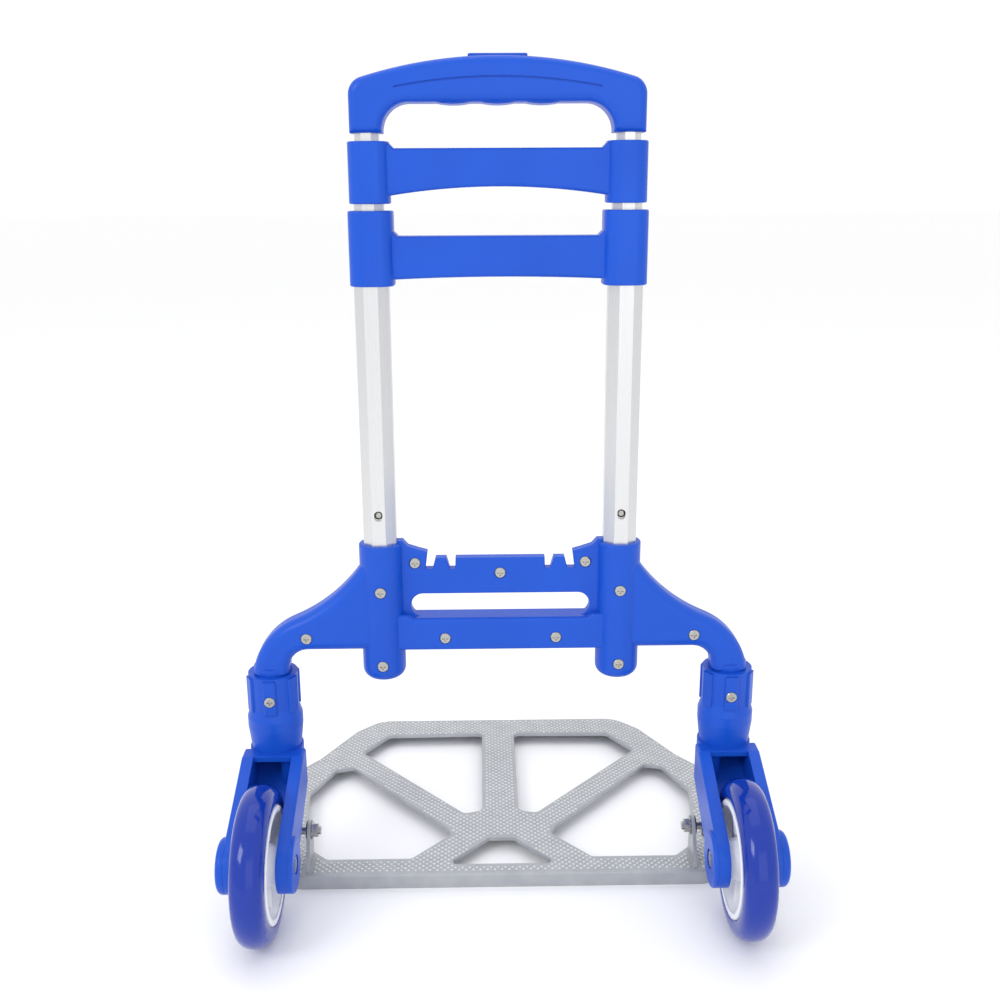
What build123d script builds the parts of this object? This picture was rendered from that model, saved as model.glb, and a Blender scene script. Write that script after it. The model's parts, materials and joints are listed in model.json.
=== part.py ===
"""Folding platform cart: telescoping handle, folding platform and two swivelling wheel forks.

Frame: origin on the floor, mid-width, under the plane of the tubes. +Z up, +Y towards the platform.
"""
from build123d import *
import os

# ---- driving dimensions, millimetres ----
# telescoping tubes
TUBE_X = 98.0
OUTER_FLATS = 26.5
MIDDLE_FLATS = 22.3
INNER_FLATS = 18.0
TUBE_WALL = 1.5
OUTER_TUBE_BOTTOM = 205.0
OUTER_TUBE_TOP = 554.0
MIDDLE_TUBE_BOTTOM = 300.0
MIDDLE_TUBE_TOP = 604.0
INNER_TUBE_BOTTOM = 345.0
INNER_TUBE_TOP = 648.0
GUIDE_GAP = 0.2
MIDDLE_TRAVEL = 190.0
HANDLE_TRAVEL = 140.0
# lock pins
MIDDLE_PIN_Z = 324.6
HANDLE_PIN_Z = 353.0
MIDDLE_PIN_RADIUS = 3.0
HANDLE_PIN_RADIUS = 2.5
PIN_FIT = 0.06
PIN_TIP_GAP = 0.3
LOCK_HOLE_WIDTH = 6.6
LOCK_HOLE_HEIGHT = 9.0
# grip
HANDLE_TOP = 672.0
GRIP_HALF_WIDTH = 110.0
GRIP_LEG_INNER = 86.0
GRIP_LEG_BOTTOM = 618.3
GRIP_UNDERSIDE = 639.6
GRIP_SHOULDER = 654.5
GRIP_HALF_DEPTH = 15.0
GRIP_WALL = 2.2
GRIP_EDGE_RADIUS = 6.5
GRIP_CORNER = 13.0
GRIP_INNER_CORNER = 20.0
SEAM_TOP = 656.9
SEAM_RADIUS = 421.0
SEAM_HALF_LENGTH = 76.0
SEAM_WIDTH = 1.2
SEAM_DEPTH = 0.8
WAVE_PITCH = 33.0
WAVE_RADIUS = 60.0
WAVE_HEIGHT = 1.2
BUTTON_HALF_LENGTH = 22.0
BUTTON_HALF_DEPTH = 4.6
BUTTON_PROUD = 2.0
BUTTON_GAP = 0.4
SPRING_RADIUS = 3.4
SPRING_WIRE = 0.45
SPRING_PITCH = 3.6
# crossbars with their sleeves
SLEEVE_X = 97.0
UPPER_SLEEVE_WIDTH = 31.0
UPPER_SLEEVE_BOTTOM = 567.5
UPPER_SLEEVE_TOP = 612.5
UPPER_PANEL_BOTTOM = 572.8
UPPER_PANEL_TOP = 607.6
UPPER_PANEL_ARCH = 7.0
LOWER_SLEEVE_WIDTH = 34.0
LOWER_SLEEVE_BOTTOM = 506.5
LOWER_SLEEVE_TOP = 562.5
LOWER_PANEL_BOTTOM = 511.2
LOWER_PANEL_TOP = 543.8
LOWER_PANEL_ARCH = 2.0
SLEEVE_CORNER = 11.0
PANEL_OVERLAP = 4.0
PANEL_GUSSET = 3.5
PANEL_HALF_DEPTH = 10.0
PANEL_SKIN = 3.5
BUSH_HEIGHT = 5.0
# base crossmember
BAR_HALF_DEPTH = 12.0
BAR_BOTTOM = 207.3
LEDGE_TOP = 235.5
WEB_HALF_DEPTH = 5.0
WEB_TOP = 286.0
BARREL_RADIUS = 18.0
BARREL_BOTTOM = 181.0
BARREL_TOP = 298.8
ARM_HALF_DEPTH = 14.0
ARM_BOTTOM = 207.5
ARM_END = 187.0
ARM_EDGE_RADIUS = 9.0
HAND_SLOT_HALF = 74.0
HAND_SLOT_TOP = 255.0
NOTCH_FLOOR = 276.5
COVER_WALL = 4.0
# screws
SCREW_HEAD_RADIUS = 4.5
SCREW_HEAD_HEIGHT = 2.2
SCREW_PROUD = 0.7
SCREW_SHANK_RADIUS = 1.7
SCREW_HOLE_RADIUS = 2.0
BOSS_RADIUS = 5.0
# swivelling forks
FORK_X = 193.0
STUB_RADIUS = 15.3
STUB_BOTTOM = 124.0
SOCKET_BORE_RADIUS = 15.4
SOCKET_TOP = 186.0
SOCKET_FLOOR = 122.5
CROWN_TOP = 118.0
CROWN_ROOF = 113.0
CROWN_FRONT = -10.0
CROWN_RADIUS = 22.5
SWIVEL_SCREW_Z = 166.2
GROOVE_DEPTH = 3.0
GROOVE_HEIGHT = 6.4
PLATE_INNER = 16.0
PLATE_OUTER = 26.0
LOBE_RADIUS = 22.0
INNER_PAD = 29.0
OUTER_PAD = 31.5
# wheels
TRAIL = 98.0
WHEEL_RADIUS = 62.5
TYRE_INNER_RADIUS = 46.0
TYRE_WIDTH = 26.0
HUB_WIDTH = 31.0
AXLE_RADIUS = 4.0
BEARING_RADIUS = 9.0
SPOKE_COUNT = 5
WHEEL_GAP = 3.5
# platform and its hinge
PIVOT_OFFSET = 12.0
HINGE_Z = 40.0
PIVOT_BLOCK_RADIUS = 6.0
SPIGOT_RADIUS = 3.0
HINGE_BOLT_RADIUS = 3.5
EAR_RADIUS = 9.0
EAR_OUTER = 24.6
EAR_THICKNESS = 3.0
EAR_HOLE_RADIUS = 6.05
BUSH_RADIUS = 6.0
BUSH_BORE_RADIUS = 4.4
DECK_TOP = 13.0
DECK_THICKNESS = 3.5
DECK_WALL = 4.5
PLATFORM_FRONT_CORNER = 28.0
PLATFORM_CORNER = 16.0
PLATFORM_REAR = -40.0
PLATFORM_FRONT = 251.0

# ---- worked out from the above ----
HINGE_Y = -PIVOT_OFFSET
AXLE_Z = WHEEL_RADIUS
OUTER_BORE = OUTER_FLATS - 2 * TUBE_WALL
MIDDLE_BORE = MIDDLE_FLATS - 2 * TUBE_WALL
INNER_BORE = INNER_FLATS - 2 * TUBE_WALL


# ---- helpers ----
def block(x0, x1, y0, y1, z0, z1):
    """Box between two corners."""
    return Pos((x0 + x1) / 2, (y0 + y1) / 2, (z0 + z1) / 2) * Box(x1 - x0, y1 - y0, z1 - z0)


def rod_x(radius, x0, x1, y, z):
    """Round bar along X."""
    return Pos((x0 + x1) / 2, y, z) * Rot(0, 90, 0) * Cylinder(radius, abs(x1 - x0))


def rod_y(radius, y0, y1, x, z):
    """Round bar along Y."""
    return Pos(x, (y0 + y1) / 2, z) * Rot(90, 0, 0) * Cylinder(radius, abs(y1 - y0))


def rod_z(radius, z0, z1, x, y):
    """Round bar along Z."""
    return Pos(x, y, (z0 + z1) / 2) * Cylinder(radius, z1 - z0)


def octagon_bar(flats, z0, z1, x=TUBE_X):
    """Octagonal bar along Z, given across its flats."""
    outline = RegularPolygon(flats / 2, 8, major_radius=False, rotation=22.5)
    return Pos(x, 0, z0) * extrude(outline, z1 - z0)


def in_xz(outline, half_depth):
    """Extrudes a sketch drawn as (x, z) evenly to both sides of the tube plane."""
    return extrude(Plane.XZ * outline, half_depth, both=True)


def in_yz(outline, x0, x1):
    """Extrudes a sketch drawn as (y, z) from x0 to x1."""
    return extrude(Plane.YZ.offset(x0) * outline, x1 - x0, dir=(1, 0, 0))


def raised(outline, height):
    """Extrudes a plan sketch upwards from the floor."""
    return extrude(outline, height, dir=(0, 0, 1))


def both_sides(part):
    """The part and its mirror image across the middle plane."""
    return part + mirror(part, Plane.YZ)


def on_side(part, side):
    """A part drawn on the right, moved to the named side."""
    if side == "right":
        return part
    return mirror(part, Plane.YZ)


def rounded(outline, radius):
    """Sketch with all its corners rounded."""
    return fillet(outline.vertices(), radius)


def cross_head_screw(face_y, tip_y, x, z):
    """Cross-head screw along +Y whose head sits in a recess of the rear face at face_y."""
    top = face_y - SCREW_PROUD
    under = top + SCREW_HEAD_HEIGHT
    head = rod_y(SCREW_HEAD_RADIUS, top, under, x, z)
    head = chamfer(head.edges().filter_by(GeomType.CIRCLE).sort_by(Axis.Y)[0], 0.6)
    slot_long = SCREW_HEAD_RADIUS * 1.1
    slot_wide = SCREW_HEAD_RADIUS * 0.28
    deep = SCREW_HEAD_HEIGHT * 0.6
    slot = Pos(x, top + deep / 2, z) * Box(slot_long, deep, slot_wide)
    cross = slot + Pos(x, top + deep / 2, z) * Box(slot_wide, deep, slot_long)
    return head - cross + rod_y(SCREW_SHANK_RADIUS, under, tip_y, x, z)


def screw_hole(face_y, tip_y, x, z):
    """Counterbored hole that takes cross_head_screw."""
    seat = face_y - SCREW_PROUD + SCREW_HEAD_HEIGHT
    recess = rod_y(SCREW_HEAD_RADIUS + 0.3, face_y - 6, seat, x, z)
    return recess + rod_y(SCREW_HOLE_RADIUS, seat, tip_y + 0.5, x, z)


# cover screws on the right half: x, z, rear face, tip
COVER_SCREWS = [
    (TUBE_X, 260.4, -BARREL_RADIUS, -OUTER_BORE / 2 + 0.8),
    (TUBE_X, 195.7, -BARREL_RADIUS, 6.0),
    (70.2, 281.7, -WEB_HALF_DEPTH, 3.0),
    (46.0, 218.0, -BAR_HALF_DEPTH, 6.0),
    (161.0, 219.4, -ARM_HALF_DEPTH, 6.0),
]
CENTRE_SCREW = (0.0, 272.8, -WEB_HALF_DEPTH, 3.0)


# ---- base crossmember ----
def arm_outline():
    """Arm from barrel to fork stub, as (x, z): a swept elbow that turns down into the stub."""
    outer = FORK_X + STUB_RADIUS
    inner = FORK_X - STUB_RADIUS
    foot = ARM_END - 17
    start = (114, 282)
    shoulder = (172, 234)
    heel = (160.5, ARM_BOTTOM)
    throat = (inner, ARM_BOTTOM - 17.2)
    edges = Polyline(throat, (inner, foot), (outer, foot), (outer, 184))
    edges += ThreePointArc((outer, 184), (199.3, 210.8), shoulder)
    edges += ThreePointArc(shoulder, (141.1, 252.5), start)
    edges += Polyline(start, (106, 293.9), (104, 293.9), (104, ARM_BOTTOM), heel)
    edges += ThreePointArc(heel, (172.66, ARM_BOTTOM - 5.04), throat)
    return make_face(edges)


def arm():
    """Right-hand arm, rounded along its edges and cut off level above the fork socket."""
    body = in_xz(arm_outline(), ARM_HALF_DEPTH)
    free = [edge for edge in body.faces().filter_by(Axis.Y).edges() if edge.center().X > 107]
    body = fillet(free, ARM_EDGE_RADIUS)
    return body - block(150, 230, -30, 30, 150, ARM_END)


def web_outline():
    """Thin upper web between the barrels, as (x, z), with the shoulders beside the barrels."""
    right = Polygon(
        (0, LEDGE_TOP - 10), (88, LEDGE_TOP - 10), (88, 301), (80, 301), (75.5, 296), (66.5, 293),
        (59.5, 291), (58.8, WEB_TOP), (0, WEB_TOP), align=None)
    return right + mirror(right, Plane.YZ)


def ledge_outline():
    """Thick lower rail between the barrels, as (x, z)."""
    right = Polygon(
        (0, BAR_BOTTOM), (88, BAR_BOTTOM), (88, LEDGE_TOP + 3), (77, LEDGE_TOP + 3), (72, LEDGE_TOP),
        (0, LEDGE_TOP), align=None)
    return right + mirror(right, Plane.YZ)


def cord_notches():
    """Two slanted notches in the web's top edge, right half."""
    above = 300
    first = Polygon((55.5, NOTCH_FLOOR), (61.5, NOTCH_FLOOR), (58.5, above), (49.4, above), align=None)
    second = Polygon((37, NOTCH_FLOOR), (41.5, NOTCH_FLOOR), (48.2, above), (36.3, above), align=None)
    return in_xz(first, 30) + in_xz(second, 30)


def crossmember():
    """Solid crossmember before it is split into two covers."""
    slot_bottom = LEDGE_TOP - 0.5
    slot_height = HAND_SLOT_TOP - slot_bottom
    slot = Pos(0, slot_bottom + slot_height / 2) * SlotOverall(2 * HAND_SLOT_HALF, slot_height)
    web = in_xz(web_outline() - slot, WEB_HALF_DEPTH) - both_sides(cord_notches())
    web = fillet(web.faces().filter_by(Axis.Y).edges(), 1.2)
    ledge = in_xz(ledge_outline(), BAR_HALF_DEPTH)
    ledge = fillet(ledge.faces().filter_by(Axis.Y).edges(), 3)
    barrel = rod_z(BARREL_RADIUS, BARREL_BOTTOM, BARREL_TOP, TUBE_X, 0)
    barrel = fillet(barrel.edges().filter_by(GeomType.CIRCLE).sort_by(Axis.Z)[0], 9)
    barrel = fillet(barrel.edges().filter_by(GeomType.CIRCLE).sort_by(Axis.Z)[-1], 1.5)
    stub = rod_z(STUB_RADIUS, STUB_BOTTOM, ARM_END + 5, FORK_X, 0)
    groove_low = SWIVEL_SCREW_Z - GROOVE_HEIGHT / 2
    groove_high = groove_low + GROOVE_HEIGHT
    groove = rod_z(STUB_RADIUS + 1, groove_low, groove_high, FORK_X, 0)
    groove = groove - rod_z(STUB_RADIUS - GROOVE_DEPTH, groove_low - 1, groove_high + 1, FORK_X, 0)
    return web + ledge + both_sides(arm() + barrel + stub - groove)


def cover_cavity():
    """Hollow inside the rail and the arms, less the screw bosses."""
    deep = BAR_HALF_DEPTH - COVER_WALL
    rail = block(-74, 74, -deep, deep, BAR_BOTTOM + COVER_WALL, LEDGE_TOP - COVER_WALL - 2)
    hollow = Polygon((120, 216), (120, 258), (141, 240), (170, 224), (172, 216), align=None)
    cavity = rail + both_sides(in_xz(hollow, ARM_HALF_DEPTH - COVER_WALL))
    for x, z, face_y, tip_y in COVER_SCREWS:
        cavity = cavity - both_sides(rod_y(BOSS_RADIUS, -30, 30, x, z))
    return cavity


def base_covers():
    """Rear and front cover of the base crossmember."""
    body = crossmember() - cover_cavity()
    body = body - both_sides(octagon_bar(OUTER_FLATS, OUTER_TUBE_BOTTOM - 4, 330))
    for x, z, face_y, tip_y in COVER_SCREWS:
        body = body - both_sides(screw_hole(face_y, tip_y, x, z))
    x, z, face_y, tip_y = CENTRE_SCREW
    body = body - screw_hole(face_y, tip_y, x, z)
    rear = body & block(-300, 300, -60, 0, 0, 400)
    front = body & block(-300, 300, 0, 60, 0, 400)
    return rear, front


def cover_screws():
    """Eleven cross-head screws in the rear cover."""
    x, z, face_y, tip_y = CENTRE_SCREW
    screws = cross_head_screw(face_y, tip_y, x, z)
    for x, z, face_y, tip_y in COVER_SCREWS:
        screws = screws + both_sides(cross_head_screw(face_y, tip_y, x, z))
    return screws


# ---- telescoping tubes ----
def tube(flats, bottom, top):
    """Octagonal tube on the right-hand tube axis."""
    return octagon_bar(flats, bottom, top) - octagon_bar(flats - 2 * TUBE_WALL, bottom - 1, top + 1)


def rear_hole(z):
    """Upright oval hole through the rear wall of a tube."""
    oval = Pos(TUBE_X, z) * Rot(0, 0, 90) * SlotOverall(LOCK_HOLE_HEIGHT, LOCK_HOLE_WIDTH)
    return extrude(Plane.XZ * oval, 30, dir=(0, -1, 0))


def outer_tube():
    """Outer tube with its two lock holes and the hole of its fixing screw."""
    body = tube(OUTER_FLATS, OUTER_TUBE_BOTTOM, OUTER_TUBE_TOP)
    body = body - rear_hole(MIDDLE_PIN_Z) - rear_hole(MIDDLE_PIN_Z + MIDDLE_TRAVEL)
    return body - rod_y(SCREW_HOLE_RADIUS, -30, 0, TUBE_X, COVER_SCREWS[0][1])


def middle_tube():
    """Middle tube: its own pin's hole, and the two lock holes of the grip stage."""
    body = tube(MIDDLE_FLATS, MIDDLE_TUBE_BOTTOM, MIDDLE_TUBE_TOP)
    for z in (HANDLE_PIN_Z, HANDLE_PIN_Z + HANDLE_TRAVEL):
        body = body - rod_y(HANDLE_PIN_RADIUS + 0.5, -30, 0, TUBE_X, z)
    return body - rod_y(MIDDLE_PIN_RADIUS + 0.4, -30, 0, TUBE_X, MIDDLE_PIN_Z)


def inner_tube():
    """Inner tube, with its pin's hole and a cross hole for the grip screw."""
    body = tube(INNER_FLATS, INNER_TUBE_BOTTOM, INNER_TUBE_TOP)
    body = body - rod_y(HANDLE_PIN_RADIUS + 0.3, -30, 0, TUBE_X, HANDLE_PIN_Z)
    return body - rod_y(SCREW_HOLE_RADIUS, -30, 30, TUBE_X, GRIP_SCREWS[0][1])


def end_plugs():
    """Plugs that close the bottom of the outer tubes."""
    flange = octagon_bar(OUTER_FLATS, OUTER_TUBE_BOTTOM - 4, OUTER_TUBE_BOTTOM)
    return both_sides(flange + octagon_bar(OUTER_BORE, OUTER_TUBE_BOTTOM, OUTER_TUBE_BOTTOM + 14))


def guide_bush(outer_flats, sliding_flats, tube_top):
    """Ring on top of a tube that guides the next tube."""
    ring = octagon_bar(outer_flats, tube_top, tube_top + BUSH_HEIGHT)
    hole = octagon_bar(sliding_flats + 2 * GUIDE_GAP, tube_top - 1, tube_top + BUSH_HEIGHT + 1)
    return both_sides(ring - hole)


def slide_shoe(bore, outside_bore, bottom, height, pin_z, pin_radius):
    """Shoe at the foot of a sliding tube, with the blind bore of the lock pin."""
    flange = octagon_bar(outside_bore - 2 * GUIDE_GAP, bottom - 4, bottom)
    body = flange + octagon_bar(bore, bottom, bottom + height)
    pin_bore = rod_y(pin_radius + PIN_FIT, -30, bore / 2 - 3.5, TUBE_X, pin_z)
    return both_sides(body - pin_bore)


def lock_pin(pin_radius, wall_y, depth, z):
    """Dome-ended lock pin that stops just short of the next tube's wall."""
    tip = -wall_y + PIN_TIP_GAP
    pin = rod_y(pin_radius, tip, depth, TUBE_X, z)
    return fillet(pin.edges().filter_by(GeomType.CIRCLE).sort_by(Axis.Y)[0], pin_radius * 0.55)


# ---- crossbars ----
def panel(bottom, top, arch, reach):
    """Crossbar panel with an arched lower edge, hollow towards the platform side."""
    lower = ThreePointArc((-reach, bottom), (0, bottom + arch), (reach, bottom))
    side = reach - PANEL_OVERLAP
    rest = Polyline(
        (reach, bottom), (reach, top + PANEL_GUSSET), (side, top + PANEL_GUSSET),
        (side - PANEL_GUSSET, top),
        (PANEL_GUSSET - side, top), (-side, top + PANEL_GUSSET), (-reach, top + PANEL_GUSSET),
        (-reach, bottom))
    body = in_xz(make_face(lower + rest), PANEL_HALF_DEPTH)
    body = fillet(body.faces().filter_by(Axis.Y).edges().filter_by(Axis.Z, reverse=True), 2.5)
    rib_count = 4
    bay = 2 * (reach - 6) / rib_count
    low = bottom + arch + PANEL_SKIN
    for index in range(rib_count):
        start = -(reach - 6) + index * bay + PANEL_SKIN / 2
        end = start + bay - PANEL_SKIN
        body = body - block(start, end, PANEL_SKIN - PANEL_HALF_DEPTH, 30, low, top - PANEL_SKIN)
    return body


def crossbar(width, low, high, panel_body, pocket_flats, bush_flats, tube_top, sliding_flats):
    """Two sleeves joined by a panel; each sleeve holds a tube top and its guide bush."""
    sleeve = block(SLEEVE_X - width / 2, SLEEVE_X + width / 2, -width / 2, width / 2, low, high)
    sleeve = fillet(sleeve.edges().filter_by(Axis.Z), SLEEVE_CORNER)
    sleeve = fillet(sleeve.faces().filter_by(Axis.Z).edges(), 1.2)
    pocket = octagon_bar(pocket_flats, low - 1, tube_top)
    pocket = pocket + octagon_bar(bush_flats, tube_top, tube_top + BUSH_HEIGHT)
    pocket = pocket + octagon_bar(sliding_flats + 2 * GUIDE_GAP, tube_top + BUSH_HEIGHT, high + 1)
    return both_sides(sleeve) + panel_body - both_sides(pocket)


def lower_crossbar():
    """Crossbar fixed to the outer tubes."""
    reach = SLEEVE_X - LOWER_SLEEVE_WIDTH / 2 + PANEL_OVERLAP
    body = panel(LOWER_PANEL_BOTTOM, LOWER_PANEL_TOP, LOWER_PANEL_ARCH, reach)
    return crossbar(
        LOWER_SLEEVE_WIDTH, LOWER_SLEEVE_BOTTOM, LOWER_SLEEVE_TOP, body,
        OUTER_FLATS, OUTER_FLATS, OUTER_TUBE_TOP, MIDDLE_FLATS + 2 * GUIDE_GAP)


def upper_crossbar():
    """Crossbar fixed to the middle tubes."""
    reach = SLEEVE_X - UPPER_SLEEVE_WIDTH / 2 + PANEL_OVERLAP
    body = panel(UPPER_PANEL_BOTTOM, UPPER_PANEL_TOP, UPPER_PANEL_ARCH, reach)
    return crossbar(
        UPPER_SLEEVE_WIDTH, UPPER_SLEEVE_BOTTOM, UPPER_SLEEVE_TOP, body,
        MIDDLE_FLATS, MIDDLE_FLATS, MIDDLE_TUBE_TOP, INNER_FLATS + 0.4)


# ---- grip ----
# grip screws on the right half: x, z, tip; heads are on the front face
GRIP_SCREWS = [(TUBE_X, 633.0, -10.0), (52.0, 654.0, -6.0)]


def grip_outline():
    """U-shaped outline of the grip as (x, z)."""
    outside = GRIP_HALF_WIDTH
    inside = GRIP_LEG_INNER
    legs = Polyline(
        (-outside, GRIP_SHOULDER), (-outside, GRIP_LEG_BOTTOM), (-inside, GRIP_LEG_BOTTOM),
        (-inside, GRIP_UNDERSIDE), (inside, GRIP_UNDERSIDE), (inside, GRIP_LEG_BOTTOM),
        (outside, GRIP_LEG_BOTTOM), (outside, GRIP_SHOULDER))
    crown = ThreePointArc((outside, GRIP_SHOULDER), (0, HANDLE_TOP), (-outside, GRIP_SHOULDER))
    outline = make_face(legs + crown)
    outer_corners = [v for v in outline.vertices() if abs(v.Y - GRIP_SHOULDER) < 0.01]
    outline = fillet(outer_corners, GRIP_CORNER)
    inner_corners = [v for v in outline.vertices() if abs(v.Y - GRIP_UNDERSIDE) < 0.01]
    return fillet(inner_corners, GRIP_INNER_CORNER)


def grip_hollow():
    """Space inside the grip: two legs, the bar between them and the well of the button."""
    leg_low = GRIP_LEG_BOTTOM + 3
    leg = block(GRIP_LEG_INNER + 3.5, GRIP_HALF_WIDTH - 3.5, -8.5, 8.5, leg_low, INNER_TUBE_TOP)
    bar = block(-96, 96, -8, 8, GRIP_UNDERSIDE + GRIP_WALL, 655)
    well = block(-28, 28, -8, 8, GRIP_UNDERSIDE + GRIP_WALL, HANDLE_TOP - 3)
    hollow = both_sides(leg) + bar + well
    return hollow - both_sides(rod_y(BOSS_RADIUS, -30, 30, GRIP_SCREWS[1][0], GRIP_SCREWS[1][1]))


def grip_seam():
    """Shallow curved seam across the rear face, above the fingers."""
    ring = Circle(SEAM_RADIUS + SEAM_WIDTH / 2) - Circle(SEAM_RADIUS - SEAM_WIDTH / 2)
    band = in_xz(Pos(0, SEAM_TOP - SEAM_RADIUS) * ring, GRIP_HALF_DEPTH + 1)
    floor_y = -GRIP_HALF_DEPTH + SEAM_DEPTH
    return band & block(-SEAM_HALF_LENGTH, SEAM_HALF_LENGTH, -GRIP_HALF_DEPTH - 1, floor_y, 640, 665)


def grip_shells():
    """Rear and front shell of the grip, split in the tube plane."""
    body = in_xz(grip_outline(), GRIP_HALF_DEPTH)
    body = fillet(body.faces().filter_by(Axis.Y).edges(), GRIP_EDGE_RADIUS)
    for step in (-1, 0, 1):
        centre_z = GRIP_UNDERSIDE - WAVE_HEIGHT + WAVE_RADIUS
        wave = rod_y(WAVE_RADIUS, -10, 10, step * WAVE_PITCH, centre_z)
        body = body + (wave & block(-80, 80, -10, 10, GRIP_UNDERSIDE - 3, GRIP_UNDERSIDE + 1.5))
    body = body - grip_hollow() - both_sides(octagon_bar(INNER_FLATS, GRIP_LEG_BOTTOM - 1, INNER_TUBE_TOP))
    long = BUTTON_HALF_LENGTH + BUTTON_GAP
    deep = BUTTON_HALF_DEPTH + BUTTON_GAP
    body = body - block(-long, long, -deep, deep, HANDLE_TOP - 8, HANDLE_TOP + 5) - grip_seam()
    for x, z, tip_y in GRIP_SCREWS:
        body = body - both_sides(Rot(0, 0, 180) * screw_hole(-GRIP_HALF_DEPTH, -tip_y, -x, z))
    rear = body & block(-200, 200, -60, 0, 500, 800)
    front = body & block(-200, 200, 0, 60, 500, 800)
    return rear, front


def grip_screws():
    """Screws that enter the grip from its front face."""
    screws = [Rot(0, 0, 180) * cross_head_screw(-GRIP_HALF_DEPTH, -tip_y, -x, z) for x, z, tip_y in GRIP_SCREWS]
    return both_sides(screws[0] + screws[1])


def release_button():
    """Push bar in the top of the grip, with a retaining flange under the shell."""
    top = HANDLE_TOP + BUTTON_PROUD
    bar = block(-BUTTON_HALF_LENGTH, BUTTON_HALF_LENGTH, -BUTTON_HALF_DEPTH, BUTTON_HALF_DEPTH, 664, top)
    bar = fillet(bar.edges().filter_by(Axis.Z), 2)
    bar = fillet(bar.faces().sort_by(Axis.Z)[-1].edges(), 1.2)
    long = BUTTON_HALF_LENGTH + 3
    flange = block(-long, long, -BUTTON_HALF_DEPTH - 2.5, BUTTON_HALF_DEPTH + 2.5, 664, 668.2)
    return bar + flange


def button_spring():
    """Coil spring between the grip's lower wall and the button."""
    foot = GRIP_UNDERSIDE + GRIP_WALL + SPRING_WIRE + 0.1
    height = 664 - SPRING_WIRE - 0.1 - foot
    path = Pos(0, 0, foot) * Helix(SPRING_PITCH, height, SPRING_RADIUS)
    start = Plane(origin=path @ 0, z_dir=path % 0)
    return sweep(start * Circle(SPRING_WIRE), path)


# ---- swivelling forks, drawn on the right: inboard is -X ----
def plate_outline():
    """Side plate as (y, z): crown drawn down and back to the axle lobe."""
    lobe = Pos(-TRAIL, AXLE_Z) * Circle(LOBE_RADIUS)
    crown = Polygon((-24, CROWN_TOP), (-24, 98), (16, 98), (16, CROWN_TOP), align=None)
    return make_hull(lobe.edges() + crown.edges())


def wheel_well():
    """Space of the wheel between the side plates, open to the rear."""
    outline = Polygon((9, CROWN_ROOF), (9, 102.5), (-130, 29), (-190, 29), (-190, CROWN_ROOF), align=None)
    over = Polygon((-24.5, CROWN_ROOF - 1), (-190, CROWN_ROOF - 1), (-190, 160), (-24.5, 160), align=None)
    disc = rod_x(WHEEL_RADIUS + WHEEL_GAP, -PLATE_INNER, PLATE_INNER, -TRAIL, AXLE_Z)
    return in_yz(outline + over, -PLATE_INNER, PLATE_INNER) + disc


def socket():
    """Swivel socket with flutes round its upper half."""
    profile = Polygon(
        (0, CROWN_ROOF), (20, CROWN_ROOF), (21, 119), (23.2, 138), (23.2, 147), (20.4, 156), (20.6, SOCKET_TOP),
        (0, SOCKET_TOP), align=None)
    body = revolve(Plane.XZ * profile, Axis.Z)
    for angle in range(0, 360, 60):
        pad = block(-5.5, 5.5, -22, -16, 154, SOCKET_TOP - 2)
        body = body + Rot(0, 0, angle) * fillet(pad.edges().filter_by(Axis.Z), 1.5)
    return body - rod_z(SOCKET_BORE_RADIUS, SOCKET_FLOOR, SOCKET_TOP + 1, 0, 0)


def fork():
    """Fork with its socket, side plates, axle lobes and the boss of the hinge pivot."""
    body = in_yz(plate_outline(), -PLATE_OUTER, PLATE_OUTER)
    body = fillet(body.edges().filter_by(Axis.X, reverse=True).filter_by(GeomType.LINE), 2)
    body = body & (block(-60, 60, -200, CROWN_FRONT, 0, 200) + rod_z(CROWN_RADIUS, 0, 200, 0, 0))
    body = body - wheel_well()
    lobe_inner = rod_x(LOBE_RADIUS, -INNER_PAD, -PLATE_OUTER + 1, -TRAIL, AXLE_Z)
    lobe_outer = rod_x(LOBE_RADIUS, PLATE_OUTER - 1, OUTER_PAD, -TRAIL, AXLE_Z)
    body = body + fillet(lobe_inner.edges().filter_by(GeomType.CIRCLE).sort_by(Axis.X)[0], 2)
    body = body + fillet(lobe_outer.edges().filter_by(GeomType.CIRCLE).sort_by(Axis.X)[-1], 4)
    body = body + socket() + rod_z(7.5, HINGE_Z + 10, CROWN_TOP - 2, -PIVOT_OFFSET, -PIVOT_OFFSET)
    body = body - rod_z(SPIGOT_RADIUS + 0.06, HINGE_Z, HINGE_Z + 28, -PIVOT_OFFSET, -PIVOT_OFFSET)
    body = body - rod_x(AXLE_RADIUS + 0.05, -60, 60, -TRAIL, AXLE_Z)
    body = body - rod_x(8, -60, -INNER_PAD + 5, -TRAIL, AXLE_Z)
    body = body - rod_x(8, OUTER_PAD - 5, 60, -TRAIL, AXLE_Z)
    body = body - screw_hole(-22, -STUB_RADIUS + GROOVE_DEPTH - 1, 0, SWIVEL_SCREW_Z)
    return Pos(FORK_X, 0, 0) * body


def swivel_screw():
    """Screw whose tip runs in the stub's groove and keeps the fork on."""
    return Pos(FORK_X, 0, 0) * cross_head_screw(-22, -STUB_RADIUS + GROOVE_DEPTH - 0.6, 0, SWIVEL_SCREW_Z)


def axle_bolt():
    """Axle bolt with its head in the outer lobe's recess."""
    head = rod_x(6.5, OUTER_PAD - 5, OUTER_PAD - 1, -TRAIL, AXLE_Z)
    return Pos(FORK_X, 0, 0) * (head + rod_x(AXLE_RADIUS, -INNER_PAD + 0.4, OUTER_PAD - 5, -TRAIL, AXLE_Z))


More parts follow.
